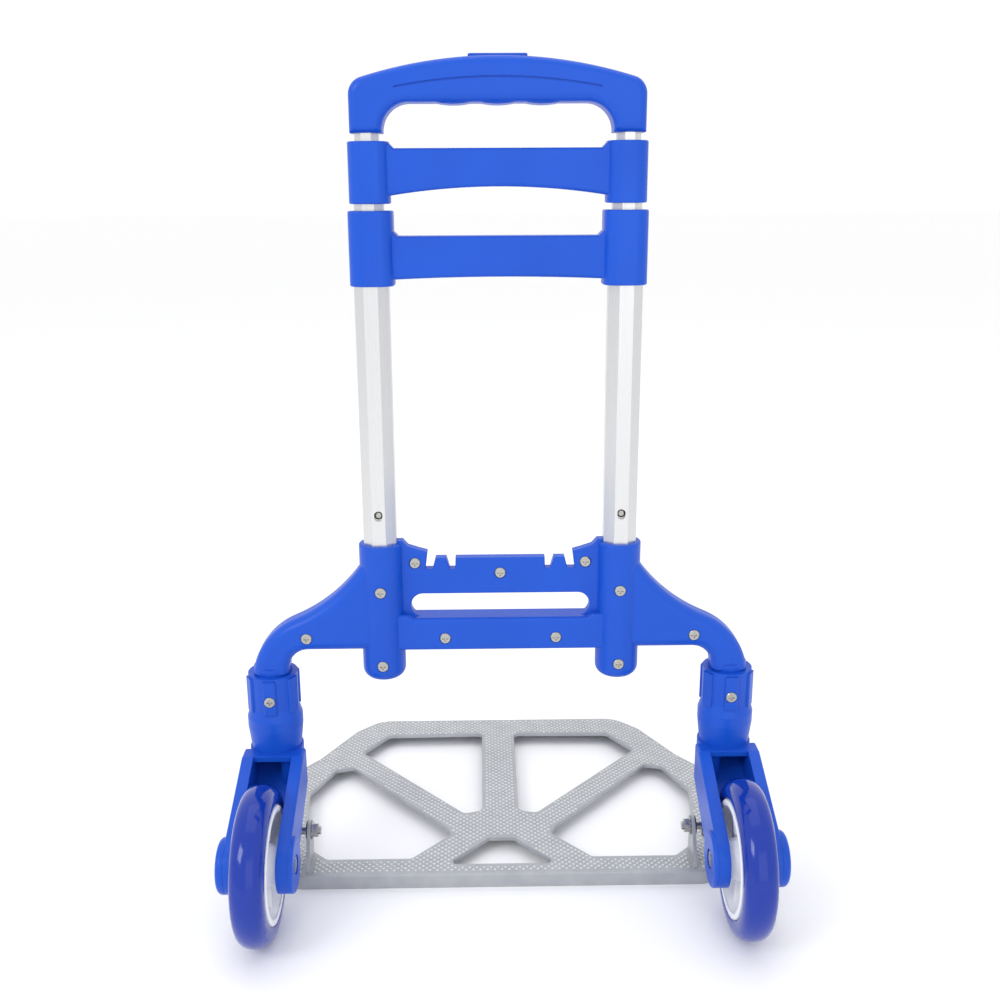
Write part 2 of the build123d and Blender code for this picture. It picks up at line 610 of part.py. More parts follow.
def hex_nut(flats, hole_radius, x0, x1, y, z):
    """Hexagonal nut round an axis along X."""
    outline = RegularPolygon(flats / 2, 6, major_radius=False)
    body = Pos(x0, y, z) * Rot(0, 90, 0) * extrude(outline, x1 - x0)
    return body - rod_x(hole_radius, x0 - 1, x1 + 1, y, z)


def axle_nut():
    """Nut in the inner lobe's recess."""
    nut = hex_nut(12, AXLE_RADIUS + 0.02, -INNER_PAD + 0.8, -INNER_PAD + 5, -TRAIL, AXLE_Z)
    return Pos(FORK_X, 0, 0) * nut


# ---- wheels, drawn on the right ----
def turned(profile):
    """Body of revolution round the wheel's axle from a profile drawn as (x, radius)."""
    body = revolve(Plane.XY * profile, Axis.X)
    return Pos(FORK_X, -TRAIL, AXLE_Z) * body


def tyre():
    """Tyre with a round tread."""
    half = TYRE_WIDTH / 2
    shoulder = WHEEL_RADIUS - 9
    side = Polyline((half, shoulder), (half, TYRE_INNER_RADIUS), (-half, TYRE_INNER_RADIUS), (-half, shoulder))
    tread = ThreePointArc((-half, shoulder), (0, WHEEL_RADIUS), (half, shoulder))
    return turned(make_face(side + tread))


def wheel_hub():
    """Spoked hub with a rim under the tyre."""
    half = TYRE_WIDTH / 2 - 0.5
    web = 3.5
    profile = Polygon(
        (-HUB_WIDTH / 2, BEARING_RADIUS), (-HUB_WIDTH / 2, 14), (-web, 18), (-web, 37), (-half, 41),
        (-half, TYRE_INNER_RADIUS), (half, TYRE_INNER_RADIUS), (half, 41), (web, 37), (web, 18),
        (HUB_WIDTH / 2, 14), (HUB_WIDTH / 2, BEARING_RADIUS), align=None)
    body = turned(profile)
    window = Pos(0, 27.5) * SlotOverall(24, 14)
    for index in range(SPOKE_COUNT):
        cut = Rot(index * 360 / SPOKE_COUNT, 0, 0) * extrude(Plane.YZ * window, 20, both=True)
        body = body - Pos(FORK_X, -TRAIL, AXLE_Z) * cut
    return body


def wheel_bearings():
    """One flangeless bearing in each end of the hub."""
    ring = rod_x(BEARING_RADIUS, 8, HUB_WIDTH / 2 - 0.2, -TRAIL, AXLE_Z)
    ring = ring - rod_x(AXLE_RADIUS + 0.06, 0, 30, -TRAIL, AXLE_Z)
    return Pos(FORK_X, 0, 0) * both_sides(ring)


# ---- platform hinge, drawn on the right: inboard is -X ----
def pivot_block():
    """Block that turns in the fork's boss and carries the hinge bolt."""
    body = rod_z(PIVOT_BLOCK_RADIUS, HINGE_Z - 9, HINGE_Z + 9.6, -PIVOT_OFFSET, HINGE_Y)
    body = body + rod_z(SPIGOT_RADIUS, HINGE_Z + 9, HINGE_Z + 26, -PIVOT_OFFSET, HINGE_Y)
    return Pos(FORK_X, 0, 0) * (body - rod_x(HINGE_BOLT_RADIUS + 0.02, -40, 10, HINGE_Y, HINGE_Z))


def hinge_bolt():
    """Hexagon bolt through the pivot block and the platform's ear."""
    head = hex_nut(11, 1, -PIVOT_OFFSET + 6.8, -PIVOT_OFFSET + 10.8, HINGE_Y, HINGE_Z)
    shank = rod_x(HINGE_BOLT_RADIUS, -EAR_OUTER - 11, -PIVOT_OFFSET + 7.5, HINGE_Y, HINGE_Z)
    filled = rod_x(2, -PIVOT_OFFSET + 6.8, -PIVOT_OFFSET + 10.8, HINGE_Y, HINGE_Z)
    return Pos(FORK_X, 0, 0) * (head + filled + shank)


def hinge_washer():
    """Washer between the ear and the nut."""
    inner = -EAR_OUTER - EAR_THICKNESS - 0.3
    disc = rod_x(7.5, inner - 1.2, inner, HINGE_Y, HINGE_Z)
    return Pos(FORK_X, 0, 0) * (disc - rod_x(HINGE_BOLT_RADIUS + 0.1, -60, 0, HINGE_Y, HINGE_Z))


def hinge_nut():
    """Nut on the inboard end of the hinge bolt."""
    inner = -EAR_OUTER - EAR_THICKNESS - 1.5
    return Pos(FORK_X, 0, 0) * hex_nut(11, HINGE_BOLT_RADIUS + 0.02, inner - 4.3, inner, HINGE_Y, HINGE_Z)


def ear_bush():
    """Flanged bush that turns in the platform's ear and rides on the bolt."""
    flange = rod_x(8, -EAR_OUTER + 0.1, -EAR_OUTER + 1.1, HINGE_Y, HINGE_Z)
    sleeve = rod_x(BUSH_RADIUS, -EAR_OUTER - EAR_THICKNESS, -EAR_OUTER + 0.3, HINGE_Y, HINGE_Z)
    bore = rod_x(BUSH_BORE_RADIUS, -60, 0, HINGE_Y, HINGE_Z)
    return Pos(FORK_X, 0, 0) * (flange + sleeve - bore)


# ---- platform ----
def symmetric(points):
    """Closed outline from the points of its right half, front to rear."""
    left = [(-x, y) for x, y in reversed(points)]
    return Polygon(*points, *left, align=None)


def platform_outline():
    """Plan of the platform."""
    outline = symmetric([
        (128, PLATFORM_FRONT), (152, 227), (183, 168), (204, 140), (205, 100), (188, -28), (178, PLATFORM_REAR)])
    front_corners = [corner for corner in outline.vertices() if corner.Y > 200]
    outline = fillet(front_corners, PLATFORM_FRONT_CORNER)
    other_corners = [corner for corner in outline.vertices() if corner.Y < 170]
    return fillet(other_corners, PLATFORM_CORNER)


def platform_windows():
    """Plan of the five windows."""
    front = rounded(Polygon((116, 216), (17, 218), (17, 62), (34, 57), (141, 178), align=None), 7)
    side = rounded(Polygon(
        (148, 147), (164, 142), (184, 96), (173, 4), (153, -16), (79, -16), (45, 22), (50, 34), align=None), 6)
    centre = rounded(Polygon((48, -25), (11, 16), (-11, 16), (-48, -25), align=None), 4)
    return [front, mirror(front, Plane.YZ), side, mirror(side, Plane.YZ), centre]


def platform():
    """Tray with five windows in its deck, a rim turned down all round, and an ear at each side."""
    deck = raised(platform_outline(), DECK_TOP)
    deck = fillet(deck.faces().sort_by(Axis.Z)[-1].edges(), 1.5)
    for window in platform_windows():
        deck = deck - raised(window, DECK_TOP + 1)
    under = offset(platform_outline(), -DECK_WALL)
    deck = deck - raised(under, DECK_TOP - DECK_THICKNESS)
    top = Pos(HINGE_Y, HINGE_Z) * Circle(EAR_RADIUS)
    foot = Polygon((-36, 10), (-36, 14), (-7, 14), (-7, 10), align=None)
    ear_outline = make_hull(top.edges() + foot.edges())
    outboard = FORK_X - EAR_OUTER
    ear = in_yz(ear_outline, outboard - EAR_THICKNESS, outboard)
    hole = rod_x(EAR_HOLE_RADIUS, outboard - 10, outboard + 10, HINGE_Y, HINGE_Z)
    return deck + both_sides(ear) - both_sides(hole)


# ---- export ----
def save(name, part):
    """Writes one node."""
    export_step(part, f"parts/{name}.step")


def main():
    """Builds and writes every node."""
    os.makedirs("parts", exist_ok=True)
    rear_cover, front_cover = base_covers()
    save("base_rear_cover", rear_cover)
    save("base_front_cover", front_cover)
    save("cover_screws", cover_screws())
    save("outer_tube_end_plugs", end_plugs())
    save("lower_crossbar", lower_crossbar())
    save("upper_crossbar", upper_crossbar())
    save("outer_guide_bushes", guide_bush(OUTER_FLATS, MIDDLE_FLATS, OUTER_TUBE_TOP))
    save("middle_guide_bushes", guide_bush(MIDDLE_FLATS, INNER_FLATS, MIDDLE_TUBE_TOP))
    save("middle_slide_shoes", slide_shoe(
        MIDDLE_BORE, OUTER_BORE, MIDDLE_TUBE_BOTTOM, 36, MIDDLE_PIN_Z, MIDDLE_PIN_RADIUS))
    save("inner_slide_shoes", slide_shoe(
        INNER_BORE, MIDDLE_BORE, INNER_TUBE_BOTTOM, 15, HANDLE_PIN_Z, HANDLE_PIN_RADIUS))
    rear_shell, front_shell = grip_shells()
    save("handle_rear_shell", rear_shell)
    save("handle_front_shell", front_shell)
    save("handle_screws", grip_screws())
    save("release_button", release_button())
    save("button_spring", button_spring())
    save("platform", platform())
    pieces = {
        "outer_tube": outer_tube(),
        "middle_tube": middle_tube(),
        "inner_tube": inner_tube(),
        "middle_lock_pin": lock_pin(MIDDLE_PIN_RADIUS, OUTER_BORE / 2, 2.0, MIDDLE_PIN_Z),
        "handle_lock_pin": lock_pin(HANDLE_PIN_RADIUS, MIDDLE_BORE / 2, 0.5, HANDLE_PIN_Z),
        "fork": fork(),
        "swivel_screw": swivel_screw(),
        "axle_bolt": axle_bolt(),
        "axle_nut": axle_nut(),
        "wheel_hub": wheel_hub(),
        "tyre": tyre(),
        "wheel_bearings": wheel_bearings(),
        "pivot_block": pivot_block(),
        "hinge_bolt": hinge_bolt(),
        "hinge_washer": hinge_washer(),
        "hinge_nut": hinge_nut(),
        "ear_bush": ear_bush(),
    }
    for name, part in pieces.items():
        for side in ("left", "right"):
            save(f"{name}_{side}", on_side(part, side))


main()
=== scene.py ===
"""Folding platform cart: finishes, wheels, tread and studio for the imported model.

Everything is in metres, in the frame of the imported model: +Z up, +Y towards the load platform.
"""

import json
import logging
import math
from collections.abc import Sequence
from dataclasses import dataclass, field
from enum import Enum

import bmesh
import bpy
from mathutils import Matrix, Vector
from mathutils.bvhtree import BVHTree


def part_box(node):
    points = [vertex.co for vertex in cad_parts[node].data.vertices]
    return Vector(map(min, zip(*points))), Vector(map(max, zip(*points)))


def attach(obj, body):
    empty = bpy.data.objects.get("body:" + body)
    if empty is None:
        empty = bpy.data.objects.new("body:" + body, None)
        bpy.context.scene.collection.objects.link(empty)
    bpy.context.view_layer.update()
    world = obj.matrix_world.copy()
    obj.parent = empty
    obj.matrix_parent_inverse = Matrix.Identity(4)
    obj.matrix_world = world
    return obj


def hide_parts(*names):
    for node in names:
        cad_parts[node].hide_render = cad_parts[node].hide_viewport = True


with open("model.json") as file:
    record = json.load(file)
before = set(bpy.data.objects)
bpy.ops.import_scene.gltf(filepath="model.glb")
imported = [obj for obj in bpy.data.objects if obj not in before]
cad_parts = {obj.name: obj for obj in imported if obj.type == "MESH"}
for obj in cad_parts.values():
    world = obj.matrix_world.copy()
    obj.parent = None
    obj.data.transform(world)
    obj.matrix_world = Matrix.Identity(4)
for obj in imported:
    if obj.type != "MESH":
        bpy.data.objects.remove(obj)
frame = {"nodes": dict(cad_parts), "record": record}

LOG = logging.getLogger("cart")
MM = 0.001
SPIN_STEPS = 96
MERGE_DISTANCE = 1e-6

# Sockets of a colour Mix node, whose names are shared by its other data types.
MIX_COLOUR_A = 6
MIX_COLOUR_B = 7
MIX_COLOUR_RESULT = 2


class Side(Enum):
    """Side of the cart, as its direction along X."""

    LEFT = -1
    RIGHT = 1

    @property
    def word(self) -> str:
        """The side's name as the nodes spell it."""
        return self.name.lower()


# ---------------------------------------------------------------- small tools


def linear(hex_colour: str) -> tuple[float, float, float, float]:
    """Turns an sRGB hex value to a linear colour.

    Args:
        hex_colour: six hex digits, with or without a leading hash.

    Returns:
        Linear red, green and blue, with full alpha.
    """
    digits = hex_colour.lstrip("#")
    channels = [int(digits[i : i + 2], 16) / 255 for i in (0, 2, 4)]
    red, green, blue = (
        c / 12.92 if c <= 0.04045 else ((c + 0.055) / 1.055) ** 2.4 for c in channels
    )
    return red, green, blue, 1.0


def add_node(
    material: bpy.types.Material,
    kind: str,
    settings: dict[str, object] | None = None,
    inputs: dict[str | int, object] | None = None,
) -> bpy.types.Node:
    """Adds one shader node.

    Args:
        material: the material that gets the node.
        kind: the node's type name.
        settings: the node's own properties.
        inputs: values or output sockets for its inputs; a socket is linked.

    Returns:
        The new node.
    """
    node = material.node_tree.nodes.new(kind)
    for name, value in (settings or {}).items():
        setattr(node, name, value)
    for name, value in (inputs or {}).items():
        if isinstance(value, bpy.types.NodeSocket):
            material.node_tree.links.new(value, node.inputs[name])
        else:
            node.inputs[name].default_value = value
    return node


def per_mm(millimetres: float) -> float:
    """Texture scale whose features are about this many millimetres across."""
    return 1.0 / (millimetres * MM)


def mesh_piece(
    name: str, shape: bmesh.types.BMesh, material: bpy.types.Material, body: str
) -> bpy.types.Object:
    """Turns a bmesh into a finished piece that rides on a body.

    Args:
        name: the piece's name.
        shape: the mesh, in place in the cart's frame; it is freed.
        material: its finish.
        body: the moving body that it rides on.

    Returns:
        The piece.
    """
    mesh = bpy.data.meshes.new(name)
    shape.to_mesh(mesh)
    shape.free()
    mesh.materials.append(material)
    for polygon in mesh.polygons:
        polygon.use_smooth = True
    piece = bpy.data.objects.new(name, mesh)
    bpy.context.scene.collection.objects.link(piece)
    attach(piece, body)
    LOG.info("piece %s: %d faces", name, len(mesh.polygons))
    return piece


def spun_about_x(profile: Sequence[tuple[float, float]], centre: Vector) -> bmesh.types.BMesh:
    """Spins a closed profile about an axle along X.

    Args:
        profile: (x offset, radius) points in order.
        centre: point on the axle.

    Returns:
        A closed ring with its faces outwards.
    """
    shape = bmesh.new()
    points = [shape.verts.new(centre + Vector((x, 0, radius))) for x, radius in profile]
    edges = [shape.edges.new(pair) for pair in zip(points, points[1:] + points[:1])]
    bmesh.ops.spin(
        shape,
        geom=points + edges,
        cent=centre,
        axis=(1, 0, 0),
        angle=math.tau,
        steps=SPIN_STEPS,
        use_merge=True,
    )
    bmesh.ops.remove_doubles(shape, verts=shape.verts, dist=MERGE_DISTANCE)
    bmesh.ops.recalc_face_normals(shape, faces=shape.faces)
    return shape


# ---------------------------------------------------------------- finishes


@dataclass(frozen=True)
class Finish:
    """Base of every finish: a Principled shader with constant values on its own sockets."""

    name: str
    colour: str
    roughness: float

    def start(self) -> tuple[bpy.types.Material, bpy.types.Node]:
        """Makes the material with its shader and output.

        Returns:
            The material and its Principled shader.
        """
        material = bpy.data.materials.new(self.name)
        material.use_nodes = True
        material.node_tree.nodes.clear()
        shader = add_node(
            material,
            "ShaderNodeBsdfPrincipled",
            inputs={"Roughness": self.roughness, "Base Color": linear(self.colour)},
        )
        add_node(material, "ShaderNodeOutputMaterial", inputs={"Surface": shader.outputs["BSDF"]})
        return material, shader

    def place(self, material: bpy.types.Material) -> bpy.types.NodeSocket:
        """Object coordinates of the surface."""
        return add_node(material, "ShaderNodeTexCoord").outputs["Object"]

    def cloud(
        self,
        material: bpy.types.Material,
        shader: bpy.types.Node,
        place: bpy.types.NodeSocket,
        size_mm: float,
        detail: float,
        shade: str,
    ) -> None:
        """Lets the colour drift to a second shade in clouds.

        Args:
            material: the material.
            shader: its Principled shader.
            place: coordinates of the surface.
            size_mm: size of the clouds.
            detail: how many finer layers they have.
            shade: the second shade, in sRGB hex.
        """
        clouds = add_node(
            material,
            "ShaderNodeTexNoise",
            inputs={"Vector": place, "Scale": per_mm(size_mm), "Detail": detail},
        )
        tint = add_node(
            material,
            "ShaderNodeMix",
            {"data_type": "RGBA"},
            {
                "Factor": clouds.outputs["Fac"],
                MIX_COLOUR_A: linear(self.colour),
                MIX_COLOUR_B: linear(shade),
            },
        )
        result = tint.outputs[MIX_COLOUR_RESULT]
        material.node_tree.links.new(result, shader.inputs["Base Color"])

    def grain(
        self,
        material: bpy.types.Material,
        shader: bpy.types.Node,
        place: bpy.types.NodeSocket,
        size_mm: float,
        detail: float,
        change: tuple[float, float],
        band: tuple[float, float] = (0.3, 0.7),
    ) -> bpy.types.NodeSocket:
        """Lets the roughness follow a fine grain.

        Args:
            material: the material.
            shader: its Principled shader.
            place: coordinates of the surface.
            size_mm: size of the grain.
            detail: how many finer layers it has.
            change: what is added to the roughness at the two ends of the band.
            band: part of the grain's height that counts.

        Returns:
            The grain's height, for a bump.
        """
        height = add_node(
            material,
            "ShaderNodeTexNoise",
            inputs={"Vector": place, "Scale": per_mm(size_mm), "Detail": detail},
        ).outputs["Fac"]
        spread = add_node(
            material,
            "ShaderNodeMapRange",
            inputs={
                "Value": height,
                "From Min": band[0],
                "From Max": band[1],
                "To Min": self.roughness + change[0],
                "To Max": self.roughness + change[1],
            },
        )
        material.node_tree.links.new(spread.outputs["Result"], shader.inputs["Roughness"])
        return height


@dataclass(frozen=True)
class MouldedPolypropylene(Finish):
    """Satin injection-moulded plastic: spark texture, slow shade changes and softened edges."""

    # Polypropylene from a spark-eroded mould: the eye gets broad soft highlights, edges that catch
    # a thin bright line where the mould's radius is, and a slight cloudiness where the pigment is
    # uneven. The spark grain is really about 0.1 mm and is drawn coarser so that it shows.
    shade: str = "104ABA"
    cloud_mm: float = 60.0
    spark_mm: float = 0.9
    spark_depth_mm: float = 0.05
    edge_mm: float = 0.7
    ior: float = 1.49
    specular_level: float = 0.28

    def build(self) -> bpy.types.Material:
        """Builds the material."""
        material, shader = self.start()
        place = self.place(material)
        self.cloud(material, shader, place, self.cloud_mm, 3.0, self.shade)
        spark = self.grain(material, shader, place, self.spark_mm, 2.0, (-0.05, 0.07))
        edge = add_node(material, "ShaderNodeBevel", {"samples": 4}, {"Radius": self.edge_mm * MM})
        bump = add_node(
            material,
            "ShaderNodeBump",
            inputs={
                "Strength": 0.25,
                "Distance": self.spark_depth_mm * MM,
                "Height": spark,
                "Normal": edge.outputs["Normal"],
            },
        )
        material.node_tree.links.new(bump.outputs["Normal"], shader.inputs["Normal"])
        shader.inputs["IOR"].default_value = self.ior
        shader.inputs["Specular IOR Level"].default_value = self.specular_level
        return material


@dataclass(frozen=True)
class CastUrethane(Finish):
    """Cast polyurethane tread: deep glossy colour with very slight waviness from the mould."""

    # Urethane cast in a polished mould: the eye gets small sharp highlights that waver a little,
    # a depth of colour that lightens at thin edges, and faint dull scuffs from rolling.
    wave_mm: float = 9.0
    wave_depth_mm: float = 0.3
    scuff_mm: float = 3.0
    ior: float = 1.5
    specular_level: float = 0.3
    coat: float = 0.2
    coat_roughness: float = 0.06
    subsurface: float = 0.04
    subsurface_mm: tuple[float, float, float] = (2.0, 3.0, 9.0)

    def build(self) -> bpy.types.Material:
        """Builds the material."""
        material, shader = self.start()
        place = self.place(material)
        wave = add_node(
            material,
            "ShaderNodeTexNoise",
            inputs={"Vector": place, "Scale": per_mm(self.wave_mm)},
        )
        bump = add_node(
            material,
            "ShaderNodeBump",
            inputs={
                "Strength": 0.12,
                "Distance": self.wave_depth_mm * MM,
                "Height": wave.outputs["Fac"],
            },
        )
        material.node_tree.links.new(bump.outputs["Normal"], shader.inputs["Normal"])
        self.grain(material, shader, place, self.scuff_mm, 6.0, (0.0, 0.12), (0.45, 0.8))
        shader.inputs["IOR"].default_value = self.ior
        shader.inputs["Specular IOR Level"].default_value = self.specular_level
        shader.inputs["Coat Weight"].default_value = self.coat
        shader.inputs["Coat Roughness"].default_value = self.coat_roughness
        shader.inputs["Subsurface Weight"].default_value = self.subsurface
        shader.inputs["Subsurface Radius"].default_value = [r * MM for r in self.subsurface_mm]
        return material


@dataclass(frozen=True)
class AnodisedExtrusion(Finish):
    """Satin anodised aluminium extrusion: fine die lines along the tube."""

    # Extruded, etched and clear anodised: the eye gets a pale silver with highlights drawn out
    # across the tube by lines that the die left along it. The lines are really under 0.1 mm apart
    # and are drawn coarser so that they show.
    line_mm: float = 0.5
    line_length_mm: float = 80.0
    line_depth_mm: float = 0.03

    def build(self) -> bpy.types.Material:
        """Builds the material."""
        material, shader = self.start()
        place = self.place(material)
        stretch = add_node(
            material,
            "ShaderNodeMapping",
            inputs={"Vector": place, "Scale": (1.0, 1.0, self.line_mm / self.line_length_mm)},
        )
        along = stretch.outputs["Vector"]
        lines = self.grain(material, shader, along, self.line_mm, 3.0, (-0.06, 0.1))
        bump = add_node(
            material,
            "ShaderNodeBump",
            inputs={
                "Strength": 0.2,
                "Distance": self.line_depth_mm * MM,
                "Height": lines,
            },
        )
        material.node_tree.links.new(bump.outputs["Normal"], shader.inputs["Normal"])
        shader.inputs["Metallic"].default_value = 1.0
        return material


@dataclass(frozen=True)
class SilverPaintedCasting(Finish):
    """Cast alloy with a silver-grey coat: pebbled skin, small shade changes and a soft gloss."""

    # A sand-like casting skin under silver paint: the eye gets a light grey with a fine pebble,
    # cloudy patches, rounded edges and a highlight between matt paint and bare metal.
    shade: str = "9DA0A4"
    cloud_mm: float = 14.0
    pebble_mm: float = 1.4
    pebble_depth_mm: float = 0.12
    edge_mm: float = 0.8
    metallic: float = 0.4

    def build(self) -> bpy.types.Material:
        """Builds the material."""
        material, shader = self.start()
        place = self.place(material)
        self.cloud(material, shader, place, self.cloud_mm, 5.0, self.shade)
        pebble = add_node(
            material,
            "ShaderNodeTexNoise",
            inputs={"Vector": place, "Scale": per_mm(self.pebble_mm), "Detail": 4.0},
        )
        edge = add_node(material, "ShaderNodeBevel", {"samples": 4}, {"Radius": self.edge_mm * MM})
        bump = add_node(
            material,
            "ShaderNodeBump",
            inputs={
                "Strength": 0.5,
                "Distance": self.pebble_depth_mm * MM,
                "Height": pebble.outputs["Fac"],
                "Normal": edge.outputs["Normal"],
            },
        )
        material.node_tree.links.new(bump.outputs["Normal"], shader.inputs["Normal"])
        shader.inputs["Metallic"].default_value = self.metallic
        return material


@dataclass(frozen=True)
class ZincPlate(Finish):
    """Bright zinc plate on steel: mottled gloss."""

    # Electroplated and passivated: the eye gets small bright screws and nuts with a slightly warm,
    # uneven gloss where crystals of the plate scatter the light.
    mottle_mm: float = 1.2

    def build(self) -> bpy.types.Material:
        """Builds the material."""
        material, shader = self.start()
        place = self.place(material)
        self.grain(material, shader, place, self.mottle_mm, 3.0, (-0.08, 0.12))
        shader.inputs["Metallic"].default_value = 1.0
        return material


class Finishes:
    """Every finish of the cart, built once."""

    def __init__(self) -> None:
        """Builds the materials."""
        self.blue = MouldedPolypropylene("blue_polypropylene", "1455CC", 0.34).build()
        self.white = MouldedPolypropylene("white_nylon", "F2F3F5", 0.33, shade="E6E8EC").build()
        self.black = MouldedPolypropylene("black_acetal", "17181A", 0.3, shade="101113").build()
        self.tread = CastUrethane("blue_urethane", "0A309A", 0.1).build()
        self.tube = AnodisedExtrusion("satin_anodised_aluminium", "D6D7D8", 0.3).build()
        self.tray = SilverPaintedCasting("silver_cast_alloy", "B9BBBF", 0.4).build()
        # The tread dots get a lighter silver: a painted highlight that stands in for the light
        # their raised tops catch.
        self.painted_highlight_dots = SilverPaintedCasting("silver_alloy_painted_highlight", "E2E3E5", 0.3, shade="CFD1D3").build()
        self.zinc = ZincPlate("zinc_plated_steel", "B0AFAA", 0.26).build()

    def of_slot(self, slot: str) -> bpy.types.Material:
        """The finish that a record's material slot gets.

        Args:
            slot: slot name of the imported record.

        Returns:
            The material.
        """
        return {
            "blue_plastic": self.blue,
            "aluminium": self.tube,
            "platform_aluminium": self.tray,
            "zinc_steel": self.zinc,
            "tyre": self.tread,
            "white_plastic": self.white,
            "black_plastic": self.black,
        }[slot]


# ---------------------------------------------------------------- sub-assemblies


@dataclass
class CarriedNodes:
    """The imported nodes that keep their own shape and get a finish."""

    finishes: Finishes

    def dress(self) -> None:
        """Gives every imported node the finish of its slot."""
        slots = {part["node"]: part["material_slot"] for part in frame["record"]["subparts"]}
        for name, node in frame["nodes"].items():
            material = self.finishes.of_slot(slots[name])
            node.data.materials.clear()
            node.data.materials.append(material)


@dataclass
class Wheel:
    """Wheel of one side: round-tread tyre and spoked hub."""

    side: Side
    finishes: Finishes

    # Tyre section.
    seat_radius: float = 46.0 * MM
    seat_chamfer: float = 1.2 * MM
    seat_inset: float = 1.5 * MM
    wall_inset: float = 0.4 * MM
    wall_drop: float = 3.0 * MM
    crown_depth: float = 11.0 * MM
    crown_steps: int = 14
    crown_fullness: float = 0.8

    # Rim bead section, as (offset from the hub's middle, radius) in millimetres.
    bead_mm: tuple[tuple[float, float], ...] = (
        (12.4, 40.6),
        (13.4, 41.2),
        (13.6, 43.4),
        (13.2, 45.6),
        (12.4, 45.8),
    )

    # Ribs along the spokes.
    spokes: int = 5
    rib_size: tuple[float, float, float] = (15.0 * MM, 3.2 * MM, 22.0 * MM)
    rib_radius: float = 28.5 * MM
    rib_edge: float = 0.9 * MM

    def build(self) -> None:
        """Builds the tyre and the hub."""
        self.build_tyre()
        self.build_hub()

    def centre(self) -> Vector:
        """Centre of the wheel."""
        low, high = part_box(f"tyre_{self.side.word}")
        return (low + high) / 2

    def build_tyre(self) -> None:
        """Spins the tyre's rounded section, chamfered where it meets the rim."""
        low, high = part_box(f"tyre_{self.side.word}")
        radius = (high.z - low.z) / 2
        half = (high.x - low.x) / 2
        shoulder = radius - self.crown_depth
        wall = [
            (half - self.seat_inset, self.seat_radius),
            (half - self.wall_inset, self.seat_radius + self.seat_chamfer),
            (half, shoulder - self.wall_drop),
        ]
        crown = []
        for step in range(self.crown_steps + 1):
            angle = math.pi * step / self.crown_steps
            rise = math.sin(angle) ** self.crown_fullness
            crown.append((math.cos(angle) * half, shoulder + (radius - shoulder) * rise))
        profile = wall + crown + [(-x, up) for x, up in reversed(wall)]
        piece = mesh_piece(
            f"tread_{self.side.word}",
            spun_about_x(profile, self.centre()),
            self.finishes.tread,
            f"{self.side.word}_wheel",
        )
        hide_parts(f"tyre_{self.side.word}")

    def build_hub(self) -> None:
        """Adds raised rim beads and spoke ribs to the hub, which keeps its own shape."""
        centre = self.centre()
        shape = bmesh.new()
        for face in (-1, 1):
            bead = [(face * offset * MM, radius * MM) for offset, radius in self.bead_mm]
            ring = spun_about_x(bead, centre)
            part = bpy.data.meshes.new("bead")
            ring.to_mesh(part)
            ring.free()
            shape.from_mesh(part)
            bpy.data.meshes.remove(part)
        for index in range(self.spokes):
            turn = Matrix.Rotation(math.tau * (index + 0.5) / self.spokes, 4, "X")
            rib = bmesh.ops.create_cube(shape, size=1.0)["verts"]
            bmesh.ops.scale(shape, vec=self.rib_size, verts=rib)
            bmesh.ops.translate(shape, vec=(0, 0, self.rib_radius), verts=rib)
            bmesh.ops.transform(shape, matrix=Matrix.Translation(centre) @ turn, verts=rib)
            bmesh.ops.bevel(
                shape,
                geom=list({edge for vert in rib for edge in vert.link_edges}),
                offset=self.rib_edge,
                affect="EDGES",
                segments=2,
                profile=0.5,
                material=-1,
            )
        mesh_piece(
            f"hub_ribs_{self.side.word}",
            shape,
            self.finishes.white,
            f"{self.side.word}_wheel",
        )


